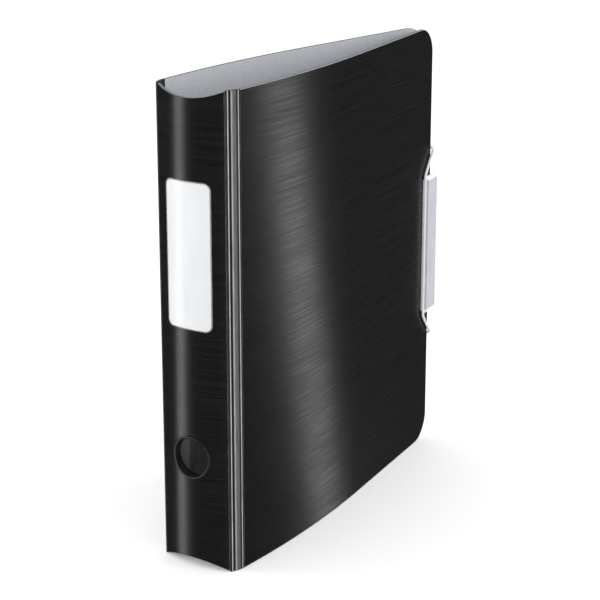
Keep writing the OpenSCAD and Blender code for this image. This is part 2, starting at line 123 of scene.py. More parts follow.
# ---- materials ----
class Nodes:
    """A material with one Principled shader, and short calls for the nodes in front of it."""

    def __init__(self, name, colour, roughness, **sockets):
        self.material = bpy.data.materials.new(name)
        self.material.use_nodes = True
        self.tree = self.material.node_tree
        self.shader = self.tree.nodes["Principled BSDF"]
        self.put("Base Color", colour)
        self.put("Roughness", roughness)
        for socket, value in sockets.items():
            self.put(socket.replace("_", " "), value)
        self.relief = None

    def feed(self, socket, value):
        """Links an output, or sets a number or a colour, on any node's input."""
        if isinstance(value, bpy.types.NodeSocket):
            self.tree.links.new(value, socket)
        elif isinstance(value, tuple) and len(value) == 3 and socket.type == "RGBA":
            socket.default_value = (*value, 1)
        else:
            socket.default_value = value

    def put(self, socket, value):
        """Feeds an input of the Principled shader."""
        self.feed(self.shader.inputs[socket], value)

    def node(self, kind, inputs=(), **values):
        """A new node with its inputs fed and its settings made."""
        n = self.tree.nodes.new("ShaderNode" + kind)
        for key, value in values.items():
            setattr(n, key, value)
        for key, value in dict(inputs).items():
            self.feed(n.inputs[key], value)
        return n

    def sheet(self):
        """Coordinates in metres on a piece's flat sheet."""
        return self.node("UVMap", uv_map="Sheet").outputs["UV"]

    def place(self, scale, turn=(0, 0, 0), uv=False):
        """Coordinates in metres, on the sheet or in the object's frame, stretched by a scale."""
        if uv:
            source = self.sheet()
        else:
            source = self.node("TexCoord").outputs["Object"]
        m = self.node("Mapping", {"Vector": source, "Scale": scale, "Rotation": turn})
        return m.outputs["Vector"]

    def noise(self, where, detail=2.0, roughness=0.5):
        """Noise with features about 1 unit wide in the given coordinates."""
        n = self.node("TexNoise", {"Vector": where, "Scale": 1.0, "Detail": detail, "Roughness": roughness})
        return n.outputs["Fac"]

    def cells(self, where):
        """Distance to the middle of the nearest cell."""
        return self.node("TexVoronoi", {"Vector": where, "Scale": 1.0}).outputs["Distance"]

    def parts(self, vector):
        """The three numbers of a vector."""
        return self.node("SeparateXYZ", {0: vector}).outputs

    def ramp(self, fac, *stops):
        """Maps a value to colours or numbers, given as (position, value) stops."""
        n = self.node("ValToRGB", {"Fac": fac})
        ends = n.color_ramp.elements
        while len(ends) < len(stops):
            ends.new(0.5)
        for e, (at, value) in zip(ends, stops):
            e.position = at
            e.color = (*value, 1) if isinstance(value, tuple) else (value, value, value, 1)
        return n.outputs["Color"]

    def mix(self, fac, a, b):
        """Colour a where fac is 0 and b where it is 1; 0, 6 and 7 are the node's colour inputs."""
        return self.node("Mix", {0: fac, 6: a, 7: b}, data_type="RGBA").outputs[2]

    def calc(self, how, a, b=0.0):
        """The result of a Math node; how is its operation."""
        return self.node("Math", {0: a, 1: b}, operation=how).outputs[0]

    def times(self, a, b):
        return self.calc("MULTIPLY", a, b)

    def bump(self, height, strength, depth_mm):
        """Adds relief on top of any relief given before."""
        n = self.node("Bump", {"Height": height, "Strength": strength, "Distance": depth_mm * MM})
        if self.relief is not None:
            self.feed(n.inputs["Normal"], self.relief)
        self.relief = n.outputs["Normal"]
        self.put("Normal", self.relief)

    def tangent(self):
        """Counts the anisotropic gloss's direction from the sheet's first direction."""
        n = self.node("Tangent", direction_type="UV_MAP", uv_map="Sheet")
        self.put("Tangent", n.outputs[0])


def brushed_film(name, low, high, streak, rough):
    """Black film with fine brush lines along the sheet's first direction; streak is their strength."""
    m = Nodes(name, low, rough, Specular_IOR_Level=0.33, Anisotropic=0.95, Anisotropic_Rotation=0.25)
    broad = m.noise(m.place((12, 820, 1), uv=True), 3.0, 0.6)
    fine = m.noise(m.place((24, 2600, 1), uv=True), 2.0)
    both = m.calc("ADD", m.times(broad, 0.65), m.times(fine, 0.35))
    patch = m.noise(m.place((9, 30, 1), uv=True), 2.0)
    m.put("Base Color", m.mix(m.ramp(both, (0.38, 0.0), (0.68, 1.0)), low, high))
    gloss = m.calc("ADD", both, m.times(patch, 0.3))
    m.put("Roughness", m.ramp(gloss, (0.5, rough + 0.08 * streak), (0.74, rough - 0.09 * streak)))
    m.bump(both, 0.35 * streak, 0.05)
    m.tangent()
    return m


FILM = brushed_film("brushed black film", (0.003, 0.0031, 0.0032), (0.0095, 0.0097, 0.0101), 0.75, 0.33)
SPINE_FILM = brushed_film("satin black film", (0.003, 0.0031, 0.0032), (0.011, 0.0113, 0.0117), 0.35, 0.39)


def strip_film():
    """The creased strip: black grooves, a grey brushed band and pale crease lines, partly the film's own
    whitening and partly painted highlight.
    """
    m = Nodes("creased film", (0.02, 0.02, 0.022), 0.4, Specular_IOR_Level=0.3)
    u = m.times(m.parts(m.sheet())[0], 80.0)  # 12.5 mm across makes 1
    wear = m.noise(m.place((900, 60, 1), uv=True), 3.0, 0.6)
    # the pale crease lines and the grey band: partly the film's whitening, partly painted highlight
    zones = m.ramp(
        u, (0.0, 0.01), (0.066, 0.012), (0.08, 0.44), (0.128, 0.42), (0.145, 0.010), (0.262, 0.010),
        (0.285, 0.34), (0.335, 0.3), (0.375, 0.12), (0.57, 0.09), (0.62, 0.010), (0.70, 0.010),
        (0.724, 0.36), (0.760, 0.38), (0.778, 0.012))
    m.put("Base Color", m.mix(m.ramp(wear, (0.35, 0.0), (0.7, 0.45)), zones, (0.02, 0.02, 0.021)))
    m.put("Roughness", m.ramp(wear, (0.3, 0.36), (0.7, 0.5)))
    m.bump(m.noise(m.place((200, 3000, 1), uv=True), 2.0), 0.3, 0.04)
    return m


STRIP = strip_film()


def foam():
    """Grey foam board: painted shade on the cut edges above and below, and black on its ends beside the
    creases.
    """
    m = Nodes("grey foam board", (0.4, 0.41, 0.435), 0.75, Specular_IOR_Level=0.3)
    cells = m.cells(m.place((2600, 2600, 2600)))
    grain = m.noise(m.place((900, 900, 900)), 4.0, 0.65)
    cloud = m.noise(m.place((18, 18, 18)), 2.0)
    base = m.mix(m.ramp(grain, (0.3, 0.0), (0.72, 1.0)), (0.385, 0.398, 0.428), (0.535, 0.548, 0.578))
    base = m.mix(m.ramp(cells, (0.05, 0.35), (0.4, 0.0)), base, (0.28, 0.29, 0.32))
    base = m.mix(m.ramp(cloud, (0.3, 0.0), (0.7, 0.16)), base, (0.58, 0.59, 0.61))
    facing = m.parts(m.node("TexCoord").outputs["Normal"])
    # painted shade: the faces that look up and down, the boards' cut edges, are darkened against the full
    # light that falls on them
    cut = m.ramp(m.calc("ABSOLUTE", facing[2]), (0.25, 0.0), (0.6, 0.85))
    base = m.mix(cut, base, (0.12, 0.123, 0.132))
    black_crease_ends = m.ramp(m.times(facing[1], -1.0), (0.7, 0.0), (0.85, 1.0))
    m.put("Base Color", m.mix(black_crease_ends, base, (0.012, 0.012, 0.0125)))
    m.put("Roughness", m.ramp(grain, (0.3, 0.82), (0.7, 0.62)))
    m.bump(cells, 0.25, 0.12)
    m.bump(grain, 0.25, 0.08)
    return m


FOAM = foam()


def moulded(name, low, high, roughness, spec=0.4, ends=None):
    """Moulded plastic with fine grain and slight colour drift.

    Where ends is given, it is a painted highlight: the colour further than 50 mm above or below the closure's
    middle."""
    m = Nodes(name, low, roughness, Specular_IOR_Level=spec)
    grain = m.noise(m.place((1400, 1400, 1400)), 3.0, 0.6)
    cloud = m.noise(m.place((60, 60, 60)), 2.0)
    tone = m.mix(m.ramp(m.times(grain, cloud), (0.12, 0.0), (0.42, 1.0)), low, high)
    # painted highlight: everything further than 50 mm from the closure's middle, the pull tab's ends, turns
    # nearly white
    if ends:
        height = m.parts(m.node("TexCoord").outputs["Object"])[2]
        offset = m.calc("ABSOLUTE", m.calc("SUBTRACT", height, CLOSURE_Z * MM))
        tone = m.mix(m.ramp(m.times(offset, 10.0), (0.497, 0.0), (0.51, 1.0)), tone, ends)
    m.put("Base Color", tone)
    m.put("Roughness", m.ramp(grain, (0.3, roughness - 0.07), (0.7, roughness + 0.09)))
    m.bump(grain, 0.3, 0.03)
    return m


BLACK = moulded("black moulded plastic", (0.006, 0.006, 0.0065), (0.016, 0.016, 0.017), 0.38, 0.3)
# the pull tab's ends get a near white painted highlight
TAB = moulded("pull tab plastic", (0.385, 0.38, 0.42), (0.455, 0.45, 0.49), 0.42, 0.35, ends=(0.8, 0.8, 0.81))
NYLON = moulded("grey nylon", (0.17, 0.17, 0.175), (0.23, 0.23, 0.24), 0.5)


def metal(name, low, high, roughness, stretch):
    """Plated steel: bright, with fine drawing marks and faint cloudy wear."""
    m = Nodes(name, high, roughness, Metallic=1.0)
    marks = m.noise(m.place(stretch), 3.0, 0.6)
    cloud = m.noise(m.place((90, 90, 90)), 3.0)
    wear = m.times(marks, cloud)
    m.put("Base Color", m.mix(m.ramp(wear, (0.12, 0.0), (0.4, 1.0)), low, high))
    m.put("Roughness", m.ramp(wear, (0.1, roughness + 0.14), (0.45, roughness)))
    m.bump(marks, 0.2, 0.02)
    return m


NICKEL = metal("nickel plated steel", (0.46, 0.45, 0.43), (0.74, 0.73, 0.70), 0.2, (1500, 1500, 40))
ZINC = metal("zinc plated steel", (0.36, 0.38, 0.41), (0.62, 0.64, 0.67), 0.32, (1800, 1800, 60))


def card():
    """Label card with a faint paper fibre."""
    m = Nodes("white label card", (0.7, 0.7, 0.7), 0.6, Specular_IOR_Level=0.3)
    fibre = m.noise(m.place((700, 700, 2200)), 4.0, 0.65)
    tone = m.ramp(fibre, (0.3, 0.0), (0.7, 1.0))
    m.put("Base Color", m.mix(tone, (0.58, 0.583, 0.59), (0.65, 0.652, 0.658)))
    m.bump(fibre, 0.12, 0.03)
    return m


def clear_film():
    """Clear pocket film, slightly milky and rippled."""
    m = Nodes("clear pocket film", (0.75, 0.76, 0.78), 0.16, Specular_IOR_Level=0.5, Alpha=0.16)
    ripple = m.noise(m.place((60, 60, 25)), 2.0)
    m.put("Base Color", m.ramp(ripple, (0.3, (0.72, 0.73, 0.75)), (0.7, (0.8, 0.81, 0.83))))
    m.put("Roughness", m.ramp(ripple, (0.3, 0.12), (0.7, 0.24)))
    m.bump(ripple, 0.1, 0.1)
    return m


def braid():
    """Braided elastic: two helices of yarn over a round core."""
    m = Nodes("white braided elastic", (0.68, 0.68, 0.69), 0.7, Specular_IOR_Level=0.25, Sheen_Weight=0.3)
    bands = []
    for turn in (0.7, -0.7):
        where = m.place((1, 1, 1), (0, 0, turn), uv=True)
        wave = m.node("TexWave", {"Vector": where, "Scale": 420.0, "Distortion": 0.4})
        bands.append(wave.outputs["Fac"])
    weave = m.times(*bands)
    m.put("Base Color", m.ramp(weave, (0.0, (0.5, 0.5, 0.52)), (0.35, (0.74, 0.74, 0.75))))
    m.bump(weave, 0.6, 0.12)
    return m


CARD, CLEAR, BRAID = card(), clear_film(), braid()


# ---- meshes ----
def piece(name, points, faces, look, body, slot, nodes, uv=None, bevel=0.0, angle=40.0, segments=2):
    """A closed mesh from points in mm, with its material, its body and the CAD nodes it stands for."""
    mesh = bpy.data.meshes.new(name)
    mesh.from_pydata([tuple(c * MM for c in p) for p in points], [], faces)
    if uv is not None:
        layer = mesh.uv_layers.new(name="Sheet")
        for loop in mesh.loops:
            layer.data[loop.index].uv = (uv[loop.vertex_index][0] * MM, uv[loop.vertex_index][1] * MM)
    bm = bmesh.new()
    bm.from_mesh(mesh)
    bmesh.ops.recalc_face_normals(bm, faces=bm.faces)
    bm.to_mesh(mesh)
    bm.free()
    mesh.shade_smooth()
    mesh.set_sharp_from_angle(angle=math.radians(angle))
    obj = bpy.data.objects.new(name, mesh)
    bpy.context.scene.collection.objects.link(obj)
    mesh.materials.append(look.material)
    if bevel:
        b = obj.modifiers.new("edges", "BEVEL")
        b.width, b.segments, b.limit_method = bevel * MM, segments, "ANGLE"
        b.angle_limit = math.radians(angle)
        b.harden_normals = True
    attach(obj, body)
    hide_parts(*nodes)


def grid_faces(rows, cols, start=0):
    """Quads between the points of a grid that is stored row by row."""
    corners = [start + i * cols + j for i in range(rows - 1) for j in range(cols - 1)]
    return [(p, p + 1, p + cols + 1, p + cols) for p in corners]


def tube_faces(rows, around):
    """Quads between rows of points that each go all the way round."""
    return [(i * around + k, i * around + (k + 1) % around,
             (i + 1) * around + (k + 1) % around, (i + 1) * around + k)
            for i in range(rows - 1) for k in range(around)]


def shell(outer, inner):
    """Closes two grids of points with the same rows and columns into one solid."""
    rows, cols = len(outer), len(outer[0])
    points = [p for row in outer for p in row] + [p for row in inner for p in row]
    n = rows * cols
    faces = grid_faces(rows, cols) + [f[::-1] for f in grid_faces(rows, cols, n)]
    rim = ([(0, j) for j in range(cols)] + [(i, cols - 1) for i in range(1, rows)]
           + [(rows - 1, j) for j in range(cols - 2, -1, -1)] + [(i, 0) for i in range(rows - 2, 0, -1)])
    for (a, b), (c, d) in zip(rim, rim[1:] + rim[:1]):
        p, q = a * cols + b, c * cols + d
        faces.append((p, q, q + n, p + n))
    return points, faces


def cover_stations():
    """Distances along a cover: even in the swell, and closer in the round corners."""
    bend = []
    for a in np.linspace(0, math.asin((CORNER_R - EDGE_OUT) / CORNER_R), 15):
        y = FORE_EDGE - CORNER_R + CORNER_R * math.sin(a)
        bend.append(COVER_LEN - (FORE[1] - y) / math.cos(END_LEAN))
    return [*np.linspace(KNUCKLE + GAP, SWELL_L, 31), *np.linspace(SWELL_L, bend[0], 14)[1:], *bend[1:]]


def cover_sheet(side, out0, out1, trim):
    """Points, faces and sheet coordinates of one layer of a cover.

    side is 1 in front and -1 behind, out0 and out1 are the layer's faces, and trim shortens both ends."""
    heights = np.linspace(0, 1, 25)
    layers, sheet = [], []
    for out in (out1, out0):
        rows = []
        for s in cover_stations():
            x, y = cover_point(s, out)
            beyond = min(max(mid_point(s)[1] - (FORE_EDGE - CORNER_R), 0), CORNER_R)
            cut = CORNER_R - math.sqrt(CORNER_R**2 - beyond**2)
            low, high = trim + cut, CASE_H - trim - cut
            rows.append([(side * x, y - MID_Y, low + (high - low) * t) for t in heights])
            sheet += [(s, low + (high - low) * t) for t in heights]
        layers.append(rows)
    points, faces = shell(*layers)
    return points, faces, sheet


def spine_sheet(r_out, r_in):
    """The spine's layer with its concave ends and the round opening for the finger ring."""
    hole, half = FINGER_R + 1.1, 20.0  # the opening's radius, and half the side of the finer square round it
    turn = math.asin(half / SPINE_R)
    left = [-SPINE_END + (SPINE_END - turn) * t for t in (0, 0.35, 0.7)]
    inside = list(np.linspace(-turn, turn, 17))
    columns = left + inside + [-a for a in left[::-1]]
    z_low = list(np.linspace(0, 1, 9))
    z_mid = list(np.linspace(FINGER_Z - half, FINGER_Z + half, 17))
    z_high = list(np.linspace(0, 1, 25))
    rows = len(z_low) - 1 + len(z_mid) + len(z_high) - 1
    i0, i1 = len(left), len(left) + len(inside) - 1
    j0, j1 = len(z_low) - 1, len(z_low) + len(z_mid) - 2
    points, faces, sheet = [], [], []
    index = {}

    def add(layer, key, theta, z):
        r = (r_out, r_in)[layer]
        index[(layer, key)] = len(points)
        points.append((r * math.sin(theta), SPINE_R - r * math.cos(theta) - MID_Y, z))
        sheet.append((r_out * theta, z))

    for layer in (0, 1):
        for i, theta in enumerate(columns):
            cut = max(dip(SPINE_R * math.sin(theta)), 0.0)
            zs = [cut + (z_mid[0] - cut) * t for t in z_low[:-1]] + z_mid
            zs += [z_mid[-1] + (CASE_H - cut - z_mid[-1]) * t for t in z_high[1:]]
            for j, z in enumerate(zs):
                if not (i0 < i < i1 and j0 < j < j1):
                    add(layer, (i, j), theta, z)
    ring = ([(i, j0) for i in range(i0, i1)] + [(i1, j) for j in range(j0, j1)]
            + [(i, j1) for i in range(i1, i0, -1)] + [(i0, j) for j in range(j1, j0, -1)])
    steps = 5  # rings of points from the square to the opening
    for layer in (0, 1):
        r = (r_out, r_in)[layer]
        for k in range(1, steps + 1):
            for m, key in enumerate(ring):
                theta1, z1 = columns[key[0]], z_mid[key[1] - j0]
                a = math.atan2(z1 - FINGER_Z, SPINE_R * math.sin(theta1))
                theta0, z0 = math.asin(hole * math.cos(a) / r), FINGER_Z + hole * math.sin(a)
                t = k / steps
                add(layer, ("ring", k, m), theta1 + (theta0 - theta1) * t, z1 + (z0 - z1) * t)

    def ring_index(layer, k, m):
        m %= len(ring)
        return index[(layer, ring[m])] if k == 0 else index[(layer, ("ring", k, m))]

    for layer in (0, 1):
        for i in range(len(columns) - 1):
            for j in range(rows - 1):
                if not (i0 <= i < i1 and j0 <= j < j1):
                    corners = ((i, j), (i + 1, j), (i + 1, j + 1), (i, j + 1))
                    faces.append([index[(layer, key)] for key in corners])
        for k in range(steps):
            for m in range(len(ring)):
                faces.append([ring_index(layer, k, m), ring_index(layer, k, m + 1),
                              ring_index(layer, k + 1, m + 1), ring_index(layer, k + 1, m)])
    for m in range(len(ring)):
        faces.append([ring_index(0, steps, m), ring_index(0, steps, m + 1),
                      ring_index(1, steps, m + 1), ring_index(1, steps, m)])
    last = len(columns) - 1
    rim = ([(i, 0) for i in range(last)] + [(last, j) for j in range(rows - 1)]
           + [(i, rows - 1) for i in range(last, 0, -1)] + [(0, j) for j in range(rows - 1, 0, -1)])
    for a, b in zip(rim, rim[1:] + rim[:1]):
        faces.append([index[(0, a)], index[(0, b)], index[(1, b)], index[(1, a)]])
    return points, faces, sheet


def lathe(profile, place, turns=64, closed=True):
    """Turns a profile of points about an axis; place(a, p) gives profile point p's place at angle a."""
    n = len(profile)
    points = [place(2 * math.pi * k / turns, p) for k in range(turns) for p in profile]
    faces = []
    for k in range(turns):
        for i in range(n if closed else n - 1):
            a, b = k * n + i, k * n + (i + 1) % n
            c, d = ((k + 1) % turns) * n + (i + 1) % n, ((k + 1) % turns) * n + i
            faces.append((a, b, c, d))
    if not closed:
        faces.append([k * n for k in range(turns)])
        faces.append([k * n + n - 1 for k in range(turns - 1, -1, -1)])
    return points, faces


def join(parts):
    """Several (points, faces) solids as one."""
    points, faces = [], []
    for p, f in parts:
        start = len(points)
        points += list(p)
        faces += [[start + i for i in face] for face in f]
    return points, faces


def smooth_route(route, step):
    """A smooth curve through the route's points, with points about step apart."""
    p = np.array(route, float)
    p = np.vstack([2 * p[0] - p[1], p, 2 * p[-1] - p[-2]])
    made = []
    for i in range(1, len(p) - 2):
        n = max(1, round(np.linalg.norm(p[i + 1] - p[i]) / step))
        for t in np.arange(n) / n:
            a, b, c, d = p[i - 1], p[i], p[i + 1], p[i + 2]
            made.append(0.5 * (2 * b + (c - a) * t + (2 * a - 5 * b + 4 * c - d) * t**2
                               + (3 * b - a - 3 * c + d) * t**3))
    made.append(p[-2])
    return np.array(made)


def swept(route, r, sides, ends=0.25):
    """A round tube along a route, with slightly rounded ends, and its sheet coordinates."""
    route = np.array(route, float)
    d = np.gradient(route, axis=0)
    d /= np.linalg.norm(d, axis=1)[:, None]
    side = np.array([0.0, 0.0, 1.0]) if abs(d[0][2]) < 0.9 else np.array([1.0, 0.0, 0.0])
    points, sheet, run = [], [], 0.0
    stations = [(route[0], d[0], 0.6 * r), (route[0] + d[0] * ends * r, d[0], 0.92 * r)]
    stations += [(p, e, r) for p, e in zip(route[1:-1], d[1:-1])]
    stations += [(route[-1] - d[-1] * ends * r, d[-1], 0.92 * r), (route[-1], d[-1], 0.6 * r)]
    last = stations[0][0]
    for p, e, rr in stations:
        side = side - e * (side @ e)
        side /= np.linalg.norm(side)
        other = np.cross(e, side)
        run += np.linalg.norm(p - last)
        last = p
        for k in range(sides):
            a = 2 * math.pi * k / sides
            points.append(tuple(p + rr * (side * math.cos(a) + other * math.sin(a))))
            sheet.append((run, r * a))
    n = len(stations)
    faces = tube_faces(n, sides)
    faces += [list(range(sides - 1, -1, -1)), [(n - 1) * sides + k for k in range(sides)]]
    return points, faces, sheet


# ---- camera ----
camera = bpy.data.objects.new("camera", bpy.data.cameras.new("camera"))
bpy.context.scene.collection.objects.link(camera)
bpy.context.scene.camera = camera
camera.data.sensor_width = 36.0
camera.data.lens = 114.0
azimuth, elevation = math.radians(34.46), math.radians(17.3)
camera.location = (0.7047, -1.0497, 0.5387)
back = Vector((
    math.sin(azimuth) * math.cos(elevation), -math.cos(azimuth) * math.cos(elevation), math.sin(elevation)))
camera.rotation_mode = "QUATERNION"
camera.rotation_quaternion = (-back).to_track_quat("-Z", "Y")
camera.data.clip_start, camera.data.clip_end = 0.05, 60

# ---- elastic cord ----
RUN_X, RUN_Y = 2.95, -12.9  # the straight middle, in the tab's groove
END_X, END_Y = -2.3, 2.4  # both ends, at the anchors inside the cover
half_route = [
    (END_X, END_Y, 86), (END_X, END_Y, 81), (END_X, END_Y, 76.5), (-2.1, 2.6, 75), (-1.2, 2.9, 73.6),
    (0.2, 2.8, 72.6), (1.6, 2.4, 71.8), (2.6, 1.3, 70.6), (3, 0, 69), (3, -1.8, 67.1), (RUN_X, -4, 64.8),
    (RUN_X, -7, 61.4), (RUN_X, -10, 57.9), (RUN_X, -11.7, 55.8), (RUN_X, -12.55, 54.2),
    (RUN_X, -12.85, 52.6), (RUN_X, RUN_Y, 51), (RUN_X, RUN_Y, 40), (RUN_X, RUN_Y, 30), (RUN_X, RUN_Y, 20),
    (RUN_X, RUN_Y, 10)]
cord_route = half_route + [(RUN_X, RUN_Y, 0)] + [(x, y, -z) for x, y, z in half_route[::-1]]
cord_line = smooth_route([at_fore(*p) for p in cord_route], 0.8)
CORD_R = 0.98
points, faces, sheet = swept(cord_line, CORD_R, 16)
piece("elastic_cord_braid", points, faces, BRAID, "closure", "white_elastic", ["elastic_cord"], sheet)


def on_cord(z):
    """Places a profile (radius, height) round the cord's end at height z."""
    return lambda a, p: at_fore(END_X + p[0] * math.cos(a), END_Y + p[0] * math.sin(a), z + p[1])


bead = [
    (1.02, -1.5), (1.5, -1.5), (1.75, -1.2), (1.8, -0.6), (1.66, 0.0), (1.8, 0.6), (1.75, 1.2), (1.5, 1.5),
    (1.02, 1.5)]
beads = [lathe(bead, on_cord(z), 32) for z in (85.8, -85.8)]
piece("cord_crimp_beads", *join(beads), TAB, "closure", "white_elastic", ["cord_end_beads"])

# ---- spine ----
points, faces, sheet = spine_sheet(SPINE_R, SPINE_R - SKIN)
piece("spine_film", points, faces, SPINE_FILM, "spine", "black_film", ["spine_skin"], sheet, bevel=0.12)
points, faces, sheet = spine_sheet(SPINE_R - SKIN, SPINE_R - WALL)
piece("spine_foam_board", points, faces, FOAM, "spine", "foam_grey", ["spine_board"], sheet, bevel=0.2)


def over_spine(x, z, lift):
    """A point that lies lift outside the spine's outer face."""
    return (x, SPINE_R - math.sqrt((SPINE_R + lift)**2 - x * x) - MID_Y, z)


INSETS = (0, 0.15, 0.35, 0.6, 0.85, 1.0, 1.3, 1.7, 2.4, 3.3, 4.2, 5.2)


def between(end, count):
    """Points from -end to end: at the insets from both, and count - 2 evenly between them."""
    middle = np.linspace(-end + INSETS[-1], end - INSETS[-1], count)
    return [-end + d for d in INSETS] + list(middle)[1:-1] + [end - d for d in INSETS[::-1]]


def label_grid(w, h, r):
    """Columns of (x, z, distance to the border) over a rounded rectangle, closer together at its border."""
    xs = between(w / 2, 10)
    for x in xs:
        beyond = max(abs(x) - (w / 2 - r), 0)
        top = h / 2 - r + math.sqrt(max(r * r - beyond * beyond, 0))
        yield [(x, z, min(w / 2 - abs(x), top - abs(z))) for z in between(top, 14)]


RIM = 0.9  # width of the pocket's welded rim, where the card stops
cells = list(label_grid(LABEL_W - 2 * RIM, LABEL_H - 2 * RIM, LABEL_R - RIM))
outer = [[over_spine(x, LABEL_Z + z, 0.25 if d > 0.1 else 0.2) for x, z, d in col] for col in cells]
inner = [[over_spine(x, LABEL_Z + z, 0.0) for x, z, d in col] for col in cells]
piece("label_paper", *shell(outer, inner), CARD, "spine", "white_card", ["label_card"])


def film_lift(d):
    """Height of the pocket film's outer face: a welded rim, a small groove inside it, then the flat front."""
    rise = min(d / 0.45, 1.0)
    lift = 0.12 + 0.48 * math.sin(rise * math.pi / 2)
    return lift - 0.14 * math.exp(-(((d - 1.15) / 0.28)**2))


def film_under(x, z, d):
    """Height of its inner face: over the card, and down on the spine at the rim except in the slot on top."""
    slot = abs(x) < LABEL_W / 2 - 1.6 and z > 0
    return 0.3 if d > 0.8 or slot else 0.0


cells = list(label_grid(LABEL_W, LABEL_H, LABEL_R))
outer = [[over_spine(x, LABEL_Z + z, film_lift(d)) for x, z, d in col] for col in cells]
inner = [[over_spine(x, LABEL_Z + z, film_under(x, z, d)) for x, z, d in col] for col in cells]
piece("label_pocket_film", *shell(outer, inner), CLEAR, "spine", "clear_plastic", ["label_pocket"])


def finger_point(a, p):
    """A profile point at angle a round the finger hole: lifted from the spine's face, or at its own depth."""
    r, kind, v = p
    x, z = r * math.cos(a), FINGER_Z + r * math.sin(a)
    return over_spine(x, z, v) if kind == "lift" else (x, v - MID_Y, z)


flange = [
    (14.9, "lift", 0.0), (14.88, "lift", 0.2), (14.75, "lift", 0.42), (14.45, "lift", 0.57),
    (14.1, "lift", 0.6), (13.7, "lift", 0.58), (13.35, "lift", 0.48), (13.12, "lift", 0.3),
    (13.02, "lift", 0.05), (13.0, "lift", -0.3), (13.0, "deep", 3.2), (13.0, "deep", 5.9),
    (13.06, "deep", 6.2), (13.25, "deep", 6.38), (13.6, "deep", 6.4), (13.9, "deep", 6.25),
    (14.0, "deep", 5.9), (14.0, "deep", 3.0), (14.0, "lift", -0.05), (14.15, "lift", 0.0)]
ring = lathe(flange, finger_point, 96)
piece("finger_ring_moulding", *ring, BLACK, "spine", "black_plastic", ["finger_ring"])
clip = [
    (14.05, "lift", -2.62), (17.0, "lift", -2.62), (17.0, "deep", 5.7), (16.85, "deep", 5.98),
    (16.5, "deep", 6.1), (14.6, "deep", 6.1), (14.2, "deep", 6.0), (14.05, "deep", 5.7)]
ring = lathe(clip, finger_point, 96)
piece("finger_ring_retainer", *ring, BLACK, "spine", "black_plastic", ["finger_ring_clip"])


# ---- hinge strips ----
def strip_profile():
    """Section of a strip, from the inside round the first crease and back: (outwards, along)."""
    cut = 0.75  # the angle left out beside the grooves
    first = [(-KNUCKLE * math.cos(a), -KNUCKLE * math.sin(a)) for a in np.linspace(0, math.pi - cut, 15)]
    band = [(0.72, 1.35), (0.74, 1.75), (1.16, 1.98), (1.24, 2.3), (1.28, 3.2), (1.3, 4.2), (1.28, 5.2),
            (1.24, 6.1), (1.14, 6.35), (0.74, 6.55), (0.74, 6.85)]
    second = [(-KNUCKLE * math.cos(a), STRIP_W - KNUCKLE * math.sin(a))
              for a in np.linspace(math.pi + cut, 2 * math.pi, 15)]
    under = [(-1.3, 6.2), (-1.22, 4.0), (-1.3, 1.8)]
    return first + band + second + under


def strip(name, side, body, node):
    """One creased strip; side is 1 in front and -1 behind."""
    profile = strip_profile()
    zs = np.linspace(0, CASE_H, 21)
    c, s = math.cos(STRIP_LEAN), math.sin(STRIP_LEAN)
    plain = 11.5  # a place beyond the zones painted by strip_film, for the faces that look inwards
    points, sheet = [], []
    for z in zs:
        for out, along in profile:
            x = SPINE_CREASE[0] + out * c + along * s
            y = SPINE_CREASE[1] - out * s + along * c
            points.append((side * x, y - MID_Y, z))
            sheet.append((along + KNUCKLE if out > 0 else plain, z))
    n = len(profile)
    faces = tube_faces(len(zs), n)
    faces += [list(range(n)), [(len(zs) - 1) * n + k for k in range(n - 1, -1, -1)]]
    piece(name, points, faces, STRIP, body, "black_film", [node], sheet, angle=50)


strip("front_crease_strip", 1, "front_strip", "front_hinge_strip")
strip("back_crease_strip", -1, "back_strip", "back_hinge_strip")

# ---- covers ----
for word, side, body in (("front", 1, "front_cover"), ("back", -1, "back_cover")):
    points, faces, sheet = cover_sheet(side, KNUCKLE - SKIN, KNUCKLE, 0.4)
    piece(word + "_cover_film", points, faces, FILM, body, "black_film", [word + "_skin"], sheet, bevel=0.12)
    points, faces, sheet = cover_sheet(side, -KNUCKLE, KNUCKLE - SKIN, 0.0)
    piece(word + "_foam_board", points, faces, FOAM, body, "foam_grey", [word + "_board"], sheet, bevel=0.25)

# ---- pull tab ----
def tab_plate():
    """Plate under the cord and the grip, with round corners and a groove for the cord."""
    w, h, r, top, under = 19.7, 102.0, 2.0, TAB_TOP, 1.6
    mid = TAB_Y - w / 2
    gap, bed = 0.89, 1.05  # half the groove's width, and its radius about the cord
    ys = [mid - w / 2 + d for d in (0, 0.15, 0.4, 0.406)]
    groove = [RUN_Y + gap * math.sin(a) for a in np.linspace(-math.pi / 2, math.pi / 2, 9)]
    ys += groove + list(np.linspace(RUN_Y + 1.4, mid + w / 2 - r, 9))
    ys += [mid + w / 2 - r + r * math.sin(a) for a in np.linspace(0.2, math.pi / 2, 8)]
    outer, inner = [], []
    for y in ys:
        beyond = max(abs(y - mid) - (w / 2 - r), 0)
        z1 = h / 2 - r + math.sqrt(max(r * r - beyond * beyond, 0))
        away = abs(y - RUN_Y)
        x = RUN_X - math.sqrt(bed**2 - away**2) if away < gap else top
        outer.append([at_fore(min(x, top), y, z) for z in np.linspace(-z1, z1, 13)])
        inner.append([at_fore(under, y, z) for z in np.linspace(-z1, z1, 13)])
    return shell(outer, inner)


piece("tab_base_plate", *tab_plate(), TAB, "closure", "tab_plastic", ["tab_back"], bevel=0.12, angle=50)


